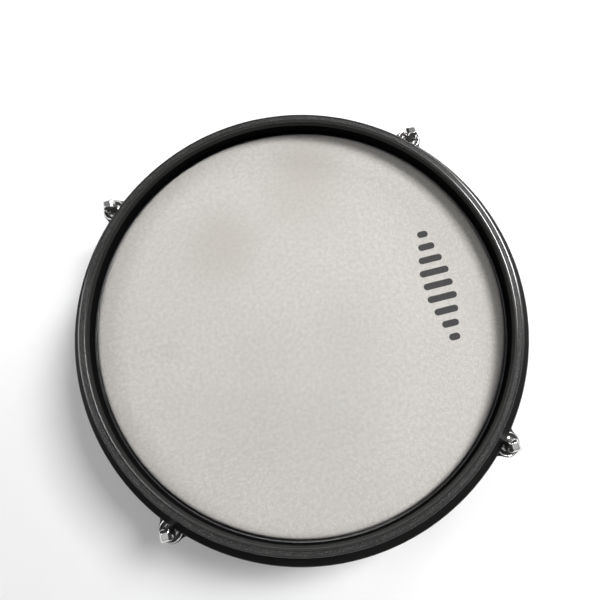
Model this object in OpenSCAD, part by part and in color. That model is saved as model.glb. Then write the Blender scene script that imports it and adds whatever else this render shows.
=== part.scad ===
// Electronic drum pad with a stretched mesh head.
// Origin: centre of the pad on the surface it stands on. +Z up, millimetres.
// +X is the side of the plug socket and of the rod holder; the tension rods
// stand at 45 degrees to the axes.

/* [Playing surface] */
// Radius of the round edge that the mesh is stretched over
head_r = 125; // [124.5:0.1:125.5]
// Height of the playing surface above the floor
head_z = 62; // [61:0.5:66]
// Thickness of the two layers of mesh together
mesh_t = 0.6; // [0.4:0.1:0.8]
// Depth of the mesh collar below the playing surface
collar_h = 9; // [7:0.5:10]

/* [Counter hoop] */
// Inner radius of the hoop's upright wall
hoop_r = 126.6; // [126.4:0.1:126.8]
// Thickness of the hoop's steel
hoop_t = 1.6; // [1.2:0.1:1.8]
// Height of the rubber rim's top above the playing surface
rim_h = 14.7; // [12:0.1:18]
// Outer radius of the hoop's flange
flange_r = 139; // [136:0.1:139.5]

/* [Tension rods] */
// Radius of the circle that the rods stand on
rod_pcd_r = 141.4; // [141:0.1:142]
// Radius of a rod's threaded shank (number 12 screw)
rod_r = 2.74; // [2.6:0.01:2.8]
// Width across the flats of the square head (quarter-inch key)
rod_head_w = 6.35; // [6:0.05:6.6]
// Height of the rod's head top above the playing surface
rod_top = 7.6; // [7:0.1:9]
// Length of a rod below the playing surface
rod_len = 46; // [42:1:50]

/* [Shell] */
// Outer radius of the shell's wall
shell_r = 133.5; // [133:0.1:134]
// Thickness of the shell's wall
shell_t = 3.2; // [2.6:0.1:3.4]
// Height of the rubber feet
foot_h = 3; // [2.5:0.1:3.5]
// Height of the underside of the bottom cover
cover_z = 25; // [24.8:0.1:25.2]
// Thickness of the bottom cover
cover_t = 3; // [2.8:0.1:3.2]
// Number of screws in the bottom cover
cover_screws_n = 8; // [8]

/* [Head sensor] */
// Distance of the sensor cone from the middle of the pad
sensor_x = 80.7; // [70:0.1:86]
// Radius of the cone's top, where it touches the mesh
cone_top_r = 6; // [5:0.1:8]
// Radius of the cone's base
cone_base_r = 14.5; // [12:0.1:15]

/* [Rod holder] */
// Radius of the hole that takes the stand's rod
holder_r = 5.3; // [5:0.05:5.6]
// Depth of the hole that takes the stand's rod
holder_len = 34; // [30:1:35]
// Height of the hole's axis above the floor
holder_z = 13.5; // [13.5]

/* [Plug socket] */
// Radius of the socket's hole (quarter-inch plug)
jack_r = 3.25; // [3.2:0.01:3.3]
// Sideways position of the socket
jack_y = -34; // [-34]
// Height of the socket's axis above the floor
jack_z = 34.4; // [34.4]

/* [Hidden] */
$fn = 96;
Z = head_z;                         // playing surface
rods = [45, 135, 225, 315];
shoulder_z = Z - 19;                // top of the shell's shoulder
cover_top = cover_z + cover_t;
bear_r = head_r - mesh_t;           // outside of the bearing ring
under = Z - mesh_t;                 // underside of the mesh
ear_top = Z - 4.2;
ear_bot = Z - 6.6;
lug_top = Z - 24;
lug_bot = Z - 50;
boss_r = 123.2;                     // circle of the cover's screws
foot_pcd = 122.6;
foot_r = 7.3;
seat_z = foot_h + 0.6;                 // underside of the seats of the feet
hx0 = 78;                           // holder body, inner end
hx1 = 118;                          // holder body, mouth
bolt_x = 101;
wire_r = 0.8;

// ---- helpers ----
module at(a, r) { rotate([0, 0, a]) translate([r, 0, 0]) children(); }
module disc(r, z0, z1) { translate([0, 0, z0]) cylinder(r = r, h = z1 - z0); }
module tube(r0, r1, z0, z1) {
  difference() {
    disc(r1, z0, z1);
    disc(r0, z0 - 1, z1 + 1);
  }
}
module box(a, b) { translate(a) cube(b - a); }
function cover_angles() = [for (i = [0:cover_screws_n - 1]) 22.5 + i * 360 / cover_screws_n];

// ---- shell: skirt, shoulder, bearing ring, bosses ----
module shell() {
  color("#1c1c1e")
  difference() {
    union() {
      // skirt, shoulder and bearing ring as one turned wall
      rotate_extrude() polygon([
        [shell_r - shell_t, foot_h], [shell_r - 0.6, foot_h], [shell_r, foot_h + 0.6],
        [shell_r, shoulder_z - 2], [shell_r - 2, shoulder_z],
        [bear_r, shoulder_z],
        [bear_r, under - 2], [bear_r - 0.27, under - 1], [bear_r - 1, under - 0.27], [bear_r - 2, under],
        [bear_r - 3.2, under], [bear_r - 3.9, under - 0.7],
        [bear_r - 3.9, shoulder_z - 3], [shell_r - shell_t, shoulder_z - 3]
      ]);
      // seat for the bottom cover
      tube(shell_r - shell_t - 4, shell_r - shell_t + 0.4, cover_top, cover_top + 2.5);
      // posts for the cover's screws
      for (a = cover_angles()) {
        at(a, boss_r) disc(4.6, cover_top, shoulder_z - 2.5);
        rotate([0, 0, a]) box([boss_r, -1.5, cover_top], [shell_r - 1, 1.5, shoulder_z - 2.5]);
      }
      // seats for the feet
      for (a = rods) {
        at(a, foot_pcd + 0.8) disc(8.4, seat_z, foot_h + 11);
      }
      // flat land inside for the plug socket
      intersection() {
        box([119.2, jack_y - 11, cover_top], [132, jack_y + 11, shoulder_z - 2.5]);
        disc(shell_r - 0.5, 0, Z);
      }
    }
    for (a = cover_angles()) at(a, boss_r) disc(1.5, cover_top - 1, cover_top + 9);
    for (a = rods) at(a, foot_pcd) disc(2.5, foot_h - 1, foot_h + 8);
    // screws of the lugs
    for (a = rods) rotate([0, 0, a]) for (z = [lug_top - 4, lug_bot + 6])
      translate([shell_r - 8, 0, z]) rotate([0, 90, 0]) cylinder(r = 2.1, h = 12);
    // pocket and hole for the plug socket
    box([127, jack_y - 8.6, jack_z - 6.3], [136, jack_y + 8.6, jack_z + 6.3]);
    translate([117, jack_y, jack_z]) rotate([0, 90, 0]) cylinder(r = 4.75, h = 13);
    // way in for the stand's rod
    box([126, -12, 0], [140, 12, 21.5]);
  }
}

// ---- bottom cover ----
module bottom_cover() {
  color("#232325")
  difference() {
    union() {
      disc(shell_r - shell_t - 0.5, cover_z, cover_top);
      // stiffening rings inside
      tube(34, 36, cover_top - 0.5, cover_top + 2);
      tube(68, 70, cover_top - 0.5, cover_top + 2);
      // ribs between the rings
      for (a = [30:60:330]) if (a != 330) rotate([0, 0, a]) box([35.5, -1, cover_top - 0.5], [68.5, 1, cover_top + 2]);
    }
    for (a = cover_angles()) at(a, boss_r) {
      disc(1.7, cover_z - 1, cover_top + 1);
      disc(3.6, cover_z - 1, cover_z + 1.4);
    }
    for (x = [hx0 - 3, hx1 - 2.5], y = [-17, 22]) translate([x, y, 0]) disc(1.7, cover_z - 1, cover_top + 1);
    for (y = [-25, 25]) translate([-sensor_x, y, 0]) disc(1.5, cover_z + 0.6, cover_top + 3);
    // channel of the rings for the leads
    box([-72, -30, cover_top], [-30, -24, cover_top + 3]);
    box([28, -30, cover_top], [72, -24, cover_top + 3]);
  }
}

module pan_screw(r, head_rr, head_h, len) {
  // shank towards +Z, head below z = 0
  difference() {
    union() {
      cylinder(r = r, h = len);
      translate([0, 0, -head_h]) cylinder(r1 = head_rr * 0.82, r2 = head_rr, h = head_h);
    }
    for (q = [0, 90]) rotate([0, 0, q]) translate([-head_rr * 0.6, -0.35, -head_h - 1]) cube([head_rr * 1.2, 0.7, 1 + head_h * 0.6]);
  }
}

module bottom_cover_screws() {
  color("#77787c")
  for (a = cover_angles()) at(a, boss_r) translate([0, 0, cover_z + 1.4]) pan_screw(1.45, 3.1, 1.3, 9.5);
}

module rubber_feet() {
  color("#141414")
  for (a = rods) at(a, foot_pcd) {
    translate([0, 0, 0]) cylinder(r1 = foot_r - 0.8, r2 = foot_r, h = 0.8);
    disc(foot_r, 0.8, seat_z);
    disc(2.45, seat_z - 0.1, foot_h + 7);
  }
}

// ---- lugs ----
module lug(a) {
  color("#202022")
  rotate([0, 0, a]) difference() {
    union() {
      // foot plate, curved to the shell
      intersection() {
        box([shell_r - 2, -11, lug_bot], [shell_r + 5, 11, lug_top]);
        tube(shell_r, shell_r + 3.2, lug_bot - 1, lug_top + 1);
      }
      // barrel round the rod
      translate([rod_pcd_r, 0, 0]) disc(6.4, lug_bot + 0.6, lug_top - 0.5);
      // neck between plate and barrel
      box([shell_r + 1.2, -4.6, lug_bot + 3], [rod_pcd_r - 1, 4.6, lug_top - 1.4]);
    }
    // well for the swivel nut and way for the rod
    translate([rod_pcd_r, 0, 0]) {
      disc(3.3, lug_bot - 1, lug_top + 1);
      disc(4.4, lug_top - 14, lug_top - 2.5);
    }
    for (z = [lug_top - 4, lug_bot + 6])
      translate([shell_r - 1, 0, z]) rotate([0, 90, 0]) cylinder(r = 1.5, h = (z > lug_bot + 10) ? 3 : 5);
  }
}
module lug_casing_1() { lug(rods[0]); }
module lug_casing_2() { lug(rods[1]); }
module lug_casing_3() { lug(rods[2]); }
module lug_casing_4() { lug(rods[3]); }

module lug_swivel_nuts() {
  color("#c9b26a")
  for (a = rods) at(a, rod_pcd_r) difference() {
    union() {
      disc(4.3, lug_top - 13.9, lug_top - 11.5);
      disc(3.8, lug_top - 11.6, lug_top - 4.9);
      disc(4.3, lug_top - 5, lug_top - 2.6);
    }
    disc(rod_r + 0.05, lug_top - 20, lug_top + 1);
  }
}

module lug_screws() {
  color("#8a8b90")
  for (a = rods) rotate([0, 0, a]) for (z = [lug_top - 4, lug_bot + 6])
    translate([shell_r - shell_t - 0.15, 0, z]) rotate([0, 90, 0])
      pan_screw(1.45, 3.4, 1.8, (z > lug_bot + 10) ? 5 : 7);
}

// ---- mesh head and hoop ----
module mesh_head() {
  color("#cfcac5")
  rotate_extrude() polygon([
    [0, under], [bear_r - 2, under], [bear_r - 1, under - 0.27], [bear_r - 0.27, under - 1], [bear_r, under - 2],
    [bear_r, Z - collar_h], [head_r, Z - collar_h],
    [head_r, Z - 2.4], [head_r - 0.3, Z - 1.1], [head_r - 1.1, Z - 0.3], [head_r - 2.4, Z], [0, Z]
  ]);
}

module flesh_hoop() {
  color("#c8c9cc")
  rotate_extrude() polygon([
    [head_r + 2.3, Z - 12.5], [head_r + 6.1, Z - 12.5], [head_r + 6.1, Z - 6.5],
    [head_r + 2.6, Z - 6.5], [head_r + 2.3, Z - 6.8]
  ]);
}

module counter_hoop() {
  color("#111112")
  difference() {
    union() {
      rotate_extrude() polygon([
        [hoop_r, Z + rim_h - 2.2], [hoop_r, Z - 2], [hoop_r + 2, Z - 4.3], [hoop_r + 2, Z - 6.5],
        [head_r + 6.1, Z - 6.5], [head_r + 6.1, Z - 4.4],
        [flange_r - 0.8, Z - 3.2], [flange_r, Z - 2.6], [flange_r, Z - 1.2], [flange_r - 0.7, Z - 0.5],
        [hoop_r + hoop_t + 2.2, Z + 1.6], [hoop_r + hoop_t, Z + 3.2],
        [hoop_r + hoop_t, Z + rim_h - 2.2]
      ]);
      // ears for the tension rods
      for (a = rods) rotate([0, 0, a]) difference() {
        union() {
          translate([rod_pcd_r, 0, 0]) disc(7.8, ear_bot, ear_top);
          translate([0, 0, ear_bot]) linear_extrude(ear_top - ear_bot)
            polygon([[130, -15.5], [134.2, -13.2], [138.5, -7.24], [141.4, -7.8], [141.4, 7.8], [138.5, 7.24], [134.2, 13.2], [130, 15.5]]);
        }
        disc(130.4, ear_bot - 1, ear_top + 1);
      }
    }
    for (a = rods) at(a, rod_pcd_r) disc(3.4, ear_bot - 1, Z + 2);
    // flat seats for the washers
    for (a = rods) at(a, rod_pcd_r) disc(7.3, ear_top, Z + 2);
  }
}

module hoop_rubber_rim() {
  color("#3a3a3b")
  rotate_extrude() polygon([
    [hoop_r, Z + 8.2], [hoop_r - 1.3, Z + 8.4], [hoop_r - 2.4, Z + 9.9], [hoop_r - 2.1, Z + rim_h - 0.5],
    [hoop_r - 1.6, Z + rim_h], [hoop_r + 1.7, Z + rim_h - 0.1], [hoop_r + 2.35, Z + rim_h - 0.7],
    [hoop_r + 3, Z + 4], [hoop_r + 2.6, Z + 3.3], [hoop_r + hoop_t, Z + 3.3],
    [hoop_r + hoop_t, Z + rim_h - 2.2], [hoop_r, Z + rim_h - 2.2]
  ]);
}

module rod_nylon_washers() {
  color("#141414")
  for (a = rods) at(a, rod_pcd_r) tube(2.95, 5.6, ear_top + 0.6, ear_top + 1.2);
}

module rod_cup_washers() {
  color("#d6d6d8")
  for (a = rods) at(a, rod_pcd_r) rotate_extrude() polygon([
    [2.95, ear_top], [6.4, ear_top], [7.0, ear_top + 0.6], [7.0, ear_top + 1.7],
    [6.6, ear_top + 2.0], [6.2, ear_top + 1.7], [5.9, ear_top + 0.9], [5.65, ear_top + 0.6], [2.95, ear_top + 0.6]
  ]);
}

module tension_rod(a) {
  f0 = ear_top + 1.2;
  color("#d9d9db")
  at(a, rod_pcd_r) {
    disc(rod_r, Z - rod_len, f0 + 0.5);
    translate([0, 0, Z - rod_len - 1]) cylinder(r1 = rod_r - 1, r2 = rod_r, h = 1);
    // flange under the head
    disc(4.6, f0, f0 + 0.7);
    translate([0, 0, f0 + 0.7]) cylinder(r1 = 4.6, r2 = 3.8, h = 1.2);
    // square head with chamfered top
    intersection() {
      translate([-rod_head_w / 2, -rod_head_w / 2, f0 + 0.9]) cube([rod_head_w, rod_head_w, Z + rod_top - f0 - 0.9]);
      union() {
        disc(rod_head_w, f0, Z + rod_top - 1.6);
        translate([0, 0, Z + rod_top - 1.6]) cylinder(r1 = rod_head_w * 0.74, r2 = rod_head_w * 0.46, h = 1.6);
      }
    }
  }
}
module tension_rod_1() { tension_rod(rods[0]); }
module tension_rod_2() { tension_rod(rods[1]); }
module tension_rod_3() { tension_rod(rods[2]); }
module tension_rod_4() { tension_rod(rods[3]); }

// ---- head sensor, towards -X ----
bz = cover_top + 5;                 // top plate of the bracket
module sensor_bracket() {
  color("#55575b")
  translate([-sensor_x, 0, 0]) difference() {
    union() {
      disc(19, bz, bz + 2);
      for (s = [-1, 1]) {
        box([-8, min(s * 12, s * 20.5), bz], [8, max(s * 12, s * 20.5), bz + 2]);
        box([-8, min(s * 18.5, s * 20.5), cover_top + 2], [8, max(s * 18.5, s * 20.5), bz + 2]);
        box([-8, min(s * 18.5, s * 31), cover_top + 2], [8, max(s * 18.5, s * 31), cover_top + 4]);
        translate([0, s * 25, 0]) disc(4, cover_top, cover_top + 2.5);
      }
    }
    for (s = [-1, 1]) translate([0, s * 25, 0]) disc(1.7, cover_top - 1, cover_top + 5);
  }
}
module sensor_bracket_screws() {
  color("#9a9ba0")
  for (y = [-25, 25]) translate([-sensor_x, y, cover_top + 4]) rotate([180, 0, 0]) pan_screw(1.45, 3, 1.6, 6);
}
module sensor_base_foam() {
  color("#2b2b2d") translate([-sensor_x, 0, 0]) disc(17, bz + 2, bz + 5);
}
module head_piezo() {
  color("#c8a24a") translate([-sensor_x, 0, 0]) {
    disc(17.5, bz + 5, bz + 5.3);
    disc(12.5, bz + 5.2, bz + 5.6);
  }
}
module sensor_foam_cone() {
  color("#c9c3b4")
  translate([-sensor_x, 0, bz + 5.6]) {
    cylinder(r = cone_base_r, h = 3);
    translate([0, 0, 3]) cylinder(r1 = cone_base_r, r2 = cone_top_r, h = under - bz - 8.6);
  }
}

// ---- rim sensor ----
module rim_piezo_pad() { color("#ece8dc") translate([18.5, 48.5, 0]) disc(12, cover_top, cover_top + 1.5); }
module rim_piezo() {
  color("#c8a24a") translate([18.5, 48.5, 0]) {
    disc(13.5, cover_top + 1.5, cover_top + 1.8);
    disc(10, cover_top + 1.7, cover_top + 2.1);
  }
}

// ---- plug socket ----
module xcyl(r, x0, x1, y, z) { translate([x0, y, z]) rotate([0, 90, 0]) cylinder(r = r, h = x1 - x0); }
module jack_socket() {
  color("#0f0f10")
  difference() {
    union() {
      box([97, jack_y - 7.5, jack_z - 5.4], [119.1, jack_y + 7.5, jack_z + 5.4]);
      xcyl(4.65, 118.8, 133, jack_y, jack_z);
    }
    xcyl(jack_r, 99, 134, jack_y, jack_z);
  }
}
module jack_washer() {
  color("#b9babd")
  difference() {
    xcyl(6.2, 127, 127.8, jack_y, jack_z);
    xcyl(4.8, 126, 129, jack_y, jack_z);
  }
}
module jack_nut() {
  color("#c4c5c8")
  difference() {
    translate([127.8, jack_y, jack_z]) rotate([0, 90, 0]) intersection() {
      cylinder(r = 6.35, h = 2.6, $fn = 6);
      cylinder(r = 6.1, h = 2.6);
    }
    xcyl(4.7, 126, 133, jack_y, jack_z);
  }
}
module jack_board() {
  color("#2f6b3a")
  union() {
    box([95, jack_y - 11, cover_top + 0.4], [96.6, jack_y + 11, cover_top + 11.4]);
    // solder pins to the socket
    for (dy = [-5, 0, 5]) box([96.5, jack_y + dy - 0.4, jack_z - 4.2], [97, jack_y + dy + 0.4, jack_z - 3.4]);
  }
}
module sensor_plug() {
  color("#efece2")
  difference() {
    box([88, jack_y - 6, jack_z - 2.5], [95, jack_y + 6, jack_z + 2.5]);
    for (dy = [-3.5, 3.5]) xcyl(wire_r + 0.02, 86, 90, jack_y + dy, jack_z);
  }
}

// ---- leads: an eight-sided tube along a list of points ----
function unit(v) = v / norm(v);
function tangent(p, i) = unit(p[min(i + 1, len(p) - 1)] - p[max(i - 1, 0)]);
module lead(p, r) {
  n = 8;
  pts = [for (i = [0:len(p) - 1])
    let (t = tangent(p, i), s = abs(t[2]) > 0.95 ? [0, 1, 0] : [0, 0, 1],
         u = unit(cross(s, t)), v = cross(t, u))
    for (k = [0:n - 1]) p[i] + r * (cos(k * 360 / n) * u + sin(k * 360 / n) * v)];
  faces = concat(
    [[for (k = [0:n - 1]) n - 1 - k]],
    [for (i = [0:len(p) - 2], k = [0:n - 1])
      [i * n + k, i * n + (k + 1) % n, (i + 1) * n + (k + 1) % n, (i + 1) * n + k]],
    [[for (k = [0:n - 1]) (len(p) - 1) * n + k]]);
  polyhedron(points = pts, faces = faces);
}
// Catmull-Rom curve through the points, m steps a span
function cr(a, b, c, d, t) = 0.5 * (2 * b + (c - a) * t + (2 * a - 5 * b + 4 * c - d) * t * t + (3 * b - a - 3 * c + d) * t * t * t);
function curve(p, m) = concat([for (i = [0:len(p) - 2], k = [0:m - 1])
  cr(p[max(i - 1, 0)], p[i], p[i + 1], p[min(i + 2, len(p) - 1)], k / m)], [p[len(p) - 1]]);
head_lead_pts = [
  [-64.5, -8, 37.2], [-60, -10, 36.4], [-55, -14, 33], [-52, -20, 31], [-48, -27, 31],
  [-20, -27, 31], [20, -27, 31], [50, -27, 31], [72, -28, 31.4], [80, -30, 33.6], [84, -30.5, 34.4], [89.5, -30.5, 34.4]
];
rim_lead_pts = [
  [18, 39.5, 31.2], [17, 34, 31.4], [16, 24, 32], [16, 8, 32], [18, -6, 32.4], [25, -17, 33.4],
  [34, -27, 33.6], [44, -34, 33], [60, -37, 31.8], [74, -38, 32.6], [82, -37.5, 34.4], [85, -37.5, 34.4], [89.5, -37.5, 34.4]
];
module head_piezo_lead() { color("#b02a22") lead(curve(head_lead_pts, 4), wire_r); }
module rim_piezo_lead() { color("#27282b") lead(curve(rim_lead_pts, 4), wire_r); }

// ---- rod holder on the underside ----
module rod_holder() {
  color("#19191a")
  difference() {
    union() {
      box([hx0, -10, holder_z - 9], [hx1, 17, cover_z]);
      box([hx0 - 7, -21, cover_z - 4], [hx1 + 1, 26, cover_z]);
      xcyl(9, hx0, hx1, 0, holder_z);
    }
    xcyl(holder_r, hx1 - holder_len, hx1 + 2, 0, holder_z);
    // room for the wings
    box([bolt_x - 12, 17, cover_z - 5], [bolt_x + 11.5, 27, cover_z + 1]);
    // way for the shoe, slot for the nut, hole for the bolt
    translate([bolt_x, 0, holder_z]) rotate([-90, 0, 0]) cylinder(r = 3.6, h = 20);
    box([bolt_x - 5.1, 11, holder_z - 10], [bolt_x + 5.1, 15.1, holder_z + 5.1]);
    for (x = [hx0 - 3, hx1 - 2.5], y = [-17, 22]) translate([x, y, 0]) disc(1.5, cover_z - 5, cover_z + 1);
  }
}
module rod_holder_screws() {
  color("#8a8b90")
  for (x = [hx0 - 3, hx1 - 2.5], y = [-17, 22]) translate([x, y, cover_top]) rotate([180, 0, 0]) pan_screw(1.45, 3, 1.8, 6.8);
}
module rod_holder_nut() {
  color("#a7a8ac")
  difference() {
    box([bolt_x - 5, 11.1, holder_z - 5], [bolt_x + 5, 15, holder_z + 5]);
    translate([bolt_x, 0, holder_z]) rotate([-90, 0, 0]) cylinder(r = 3.05, h = 30);
  }
}
module clamp_shoe() {
  color("#b58e3c")
  translate([bolt_x, 5.6, holder_z]) rotate([-90, 0, 0]) cylinder(r = 3.45, h = 2.4);
}
module wing_bolt() {
  color("#cfd0d3")
  translate([bolt_x, 0, holder_z]) rotate([-90, 0, 0]) {
    translate([0, 0, 8]) cylinder(r1 = 2.3, r2 = 3, h = 1);
    translate([0, 0, 9]) cylinder(r = 3, h = 14);
    // hub
    translate([0, 0, 22]) cylinder(r1 = 4.2, r2 = 5, h = 1.5);
    translate([0, 0, 23.5]) cylinder(r1 = 5, r2 = 3.8, h = 6);
    // wings
    for (s = [0, 180]) rotate([0, 0, s]) translate([0, 1.1, 22.8]) rotate([90, 0, 0]) linear_extrude(2.2)
      polygon([[2.5, 0], [4.6, 0.2], [7.6, 3.4], [9.6, 6.6], [10.7, 9.8], [10.4, 11.6], [9.2, 12.4],
               [7.8, 12], [6.4, 9.6], [5.2, 7.4], [3.6, 6.2], [2.5, 6]]);
  }
}

shell();
bottom_cover();
bottom_cover_screws();
rubber_feet();
lug_casing_1();
lug_casing_2();
lug_casing_3();
lug_casing_4();
lug_swivel_nuts();
lug_screws();
mesh_head();
flesh_hoop();
counter_hoop();
hoop_rubber_rim();
rod_nylon_washers();
rod_cup_washers();
tension_rod_1();
tension_rod_2();
tension_rod_3();
tension_rod_4();
sensor_bracket();
sensor_bracket_screws();
sensor_base_foam();
head_piezo();
sensor_foam_cone();
rim_piezo_pad();
rim_piezo();
jack_socket();
jack_washer();
jack_nut();
jack_board();
sensor_plug();
head_piezo_lead();
rim_piezo_lead();
rod_holder();
rod_holder_screws();
rod_holder_nut();
clamp_shoe();
wing_bolt();
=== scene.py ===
import math
import random

import bmesh
import bpy
import numpy as np
from mathutils import Matrix, Vector


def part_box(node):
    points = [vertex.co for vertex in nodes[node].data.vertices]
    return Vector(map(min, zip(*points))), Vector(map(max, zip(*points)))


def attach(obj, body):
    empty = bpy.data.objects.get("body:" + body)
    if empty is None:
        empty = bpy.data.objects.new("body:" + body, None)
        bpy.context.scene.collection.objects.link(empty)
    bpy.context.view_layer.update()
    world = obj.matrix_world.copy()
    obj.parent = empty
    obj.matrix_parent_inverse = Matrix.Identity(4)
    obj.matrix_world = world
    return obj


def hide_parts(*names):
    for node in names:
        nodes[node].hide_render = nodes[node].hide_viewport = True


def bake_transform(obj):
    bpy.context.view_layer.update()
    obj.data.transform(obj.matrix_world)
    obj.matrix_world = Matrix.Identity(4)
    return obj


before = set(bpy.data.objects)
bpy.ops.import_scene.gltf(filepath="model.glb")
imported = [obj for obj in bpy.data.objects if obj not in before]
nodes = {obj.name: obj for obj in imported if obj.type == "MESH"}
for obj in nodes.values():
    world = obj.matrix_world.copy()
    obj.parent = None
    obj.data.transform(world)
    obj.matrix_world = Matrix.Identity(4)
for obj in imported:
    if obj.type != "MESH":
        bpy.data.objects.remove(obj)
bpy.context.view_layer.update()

MM = 0.001
PI = math.pi

# ------------------------------------------------------------------ places, all from the frame
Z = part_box("mesh_head")[1].z * 1000            # playing surface, mm
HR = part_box("mesh_head")[1].x * 1000           # bearing edge radius, mm
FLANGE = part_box("counter_hoop")[1].x * 1000    # flange radius, mm
HOOP_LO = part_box("counter_hoop")[0].z * 1000
HOOP_R = HR + 1.6
RIM_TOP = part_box("hoop_rubber_rim")[1].z * 1000
RODS = []
for i in (1, 2, 3, 4):
    lo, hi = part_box("tension_rod_%d" % i)
    c = (lo + hi) / 2
    RODS.append((i, c.x * 1000, c.y * 1000, lo.z * 1000, hi.z * 1000))
EAR_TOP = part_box("rod_cup_washers")[0].z * 1000
ROD_PCD = math.hypot(RODS[0][1], RODS[0][2])

# ------------------------------------------------------------------ the camera, at the photograph's viewing angle
TURN = math.radians(13.91)                     # the pad's +X against the picture's horizontal
FOCAL_PX, AX, AY = 441.5, -0.1896, -0.0284
CAM_C = Vector((8.46, -39.41, 267.14))         # mm from the middle of the head, picture's axes
cam = bpy.data.cameras.new("camera")
cam.sensor_width = 36.0
cam.lens = FOCAL_PX / 600 * 36
cam.clip_start, cam.clip_end = 0.01, 10
cam_o = bpy.data.objects.new("camera", cam)
bpy.context.scene.collection.objects.link(cam_o)
view_rot = Matrix.Rotation(AX, 3, "X") @ Matrix.Rotation(AY, 3, "Y")
to_picture = Matrix.Rotation(TURN, 3, "Z")     # CAD axes to the picture's axes
place = to_picture.transposed() @ CAM_C * MM + Vector((0, 0, Z * MM))
cam_o.matrix_world = Matrix.Translation(place) @ (view_rot @ to_picture).transposed().to_4x4()
bpy.context.scene.camera = cam_o


# ------------------------------------------------------------------ mesh helpers
def fillet(pts, rads, n=4):
    """A closed outline with each corner rounded: pts are (a, b), rads one radius a corner."""
    out, m = [], len(pts)
    for i, p in enumerate(pts):
        r = rads[i] if isinstance(rads, (list, tuple)) else rads
        p = Vector(p)
        a, b = Vector(pts[i - 1]) - p, Vector(pts[(i + 1) % m]) - p
        la, lb = a.length, b.length
        a.normalize(); b.normalize()
        ang = math.acos(max(-1, min(1, a.dot(b))))
        if r <= 0 or ang > PI - 0.02 or ang < 0.02:
            out.append((p.x, p.y)); continue
        d = min(r / math.tan(ang / 2), 0.49 * la, 0.49 * lb)
        rr = d * math.tan(ang / 2)
        c = p + (a + b).normalized() * (rr / math.sin(ang / 2))
        s, e = p + a * d, p + b * d
        v0, v1 = s - c, e - c
        t0 = math.atan2(v0.y, v0.x)
        dt = math.atan2(v0.x * v1.y - v0.y * v1.x, v0.dot(v1))
        for k in range(n + 1):
            t = t0 + dt * k / n
            out.append((c.x + rr * math.cos(t), c.y + rr * math.sin(t)))
    return out


def finish_mesh(bm, name, smooth=True, sharp=38, weighted=True):
    bmesh.ops.recalc_face_normals(bm, faces=bm.faces)
    me = bpy.data.meshes.new(name)
    bm.to_mesh(me); bm.free()
    if smooth:
        me.shade_smooth()
        me.set_sharp_from_angle(angle=math.radians(sharp))
    o = bpy.data.objects.new(name, me)
    bpy.context.scene.collection.objects.link(o)
    if weighted:
        w = o.modifiers.new("normals", "WEIGHTED_NORMAL")
        w.keep_sharp = True
        w.weight = 60
    return o


def lathe_into(bm, prof, seg=256, closed=True, centre=(0, 0), scale=MM, wobble=None):
    """Turns a profile of (radius, height) in mm about the upright through centre."""
    rings = []
    for (r, z) in prof:
        if r < 1e-6:
            v = bm.verts.new((centre[0] * scale, centre[1] * scale, z * scale))
            rings.append([v] * seg); continue
        ring = []
        for k in range(seg):
            t = 2 * PI * k / seg
            rr, zz = (r, z) if wobble is None else wobble(r, z, t)
            ring.append(bm.verts.new(((centre[0] + rr * math.cos(t)) * scale, (centre[1] + rr * math.sin(t)) * scale, zz * scale)))
        rings.append(ring)
    n = len(rings)
    for i in range(n if closed else n - 1):
        a, b = rings[i], rings[(i + 1) % n]
        for k in range(seg):
            q = [a[k], a[(k + 1) % seg], b[(k + 1) % seg], b[k]]
            q = [v for j, v in enumerate(q) if v not in q[:j]]
            if len(q) >= 3:
                try:
                    bm.faces.new(q)
                except ValueError:
                    pass
    return rings


def lathe(name, prof, seg=256, closed=True, **kw):
    bm = bmesh.new()
    lathe_into(bm, prof, seg, closed, **kw)
    return finish_mesh(bm, name)


def prism_into(bm, outline, z0, z1, bevel=0.0, steps=3, scale=MM, hole=None):
    """Extrudes an outline (x, y) in mm between two heights, with rounded upper and lower edges. hole is an inner outline with as many points."""
    def offset(pts, d, inward=True):
        m, out = len(pts), []
        area = sum(pts[i - 1][0] * pts[i][1] - pts[i][0] * pts[i - 1][1] for i in range(m))
        s = 1 if area > 0 else -1
        for i in range(m):
            a = Vector(pts[i]) - Vector(pts[i - 1]); b = Vector(pts[(i + 1) % m]) - Vector(pts[i])
            na = Vector((-a.y, a.x)).normalized() * s; nb = Vector((-b.y, b.x)).normalized() * s
            nn = (na + nb)
            nn = nn.normalized() if nn.length > 1e-6 else na
            k = max(0.35, nn.dot(na))
            out.append((pts[i][0] + nn.x * d / k * (1 if inward else -1), pts[i][1] + nn.y * d / k * (1 if inward else -1)))
        return out
    levels = []
    for k in range(steps + 1):
        t = PI / 2 * k / steps
        levels.append((bevel * (1 - math.sin(t)), z0 + bevel * (1 - math.cos(t))))
    for k in range(steps + 1):
        t = PI / 2 * (1 - k / steps)
        levels.append((bevel * (1 - math.sin(t)), z1 - bevel * (1 - math.cos(t))))
    def rings(pts, inward):
        out = []
        for d, z in levels:
            out.append([bm.verts.new((x * scale, y * scale, z * scale)) for x, y in offset(pts, d, inward)])
        for a, b in zip(out, out[1:]):
            for k in range(len(a)):
                bm.faces.new([a[k], a[(k + 1) % len(a)], b[(k + 1) % len(a)], b[k]])
        return out
    o = rings(outline, True)
    if hole is None:
        bm.faces.new(o[0]); bm.faces.new(o[-1])
    else:
        h = rings(hole, False)
        for a, b in ((o[0], h[0]), (o[-1], h[-1])):
            m = len(a)
            for k in range(m):
                bm.faces.new([a[k], a[(k + 1) % m], b[(k + 1) % m], b[k]])
    return o


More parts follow.
